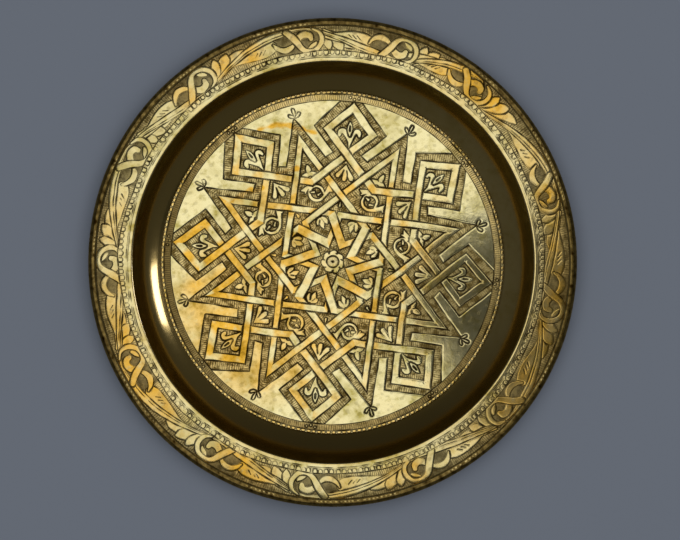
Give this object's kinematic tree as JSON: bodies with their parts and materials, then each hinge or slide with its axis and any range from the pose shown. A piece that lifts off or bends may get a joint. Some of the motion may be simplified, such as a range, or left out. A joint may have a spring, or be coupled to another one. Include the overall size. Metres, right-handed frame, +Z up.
{
  "type": "brass tray",
  "caption": "Round brass serving tray with a flat engraved floor, a hollow wall, a crowned engraved flange and an edge rolled round a wire.",
  "frame": {"origin": "middle of the base, on the surface that the tray stands on", "axes": "+Z up along the tray's axis, out of the well; +Y towards the top of the tray as it is shown upright, +X to its right"},
  "size_m": [0.3, 0.2998, 0.0185],
  "materials": {
    "brass_sheet": "hand-engraved and polished, with dark patina in the cuts",
    "edge_wire": "plain drawn wire, hidden in the rolled edge"
  },
  "bodies": {
    "root": {"tray_sheet": "brass_sheet", "rim_wire": "edge_wire"}
  },
  "joints": []
}
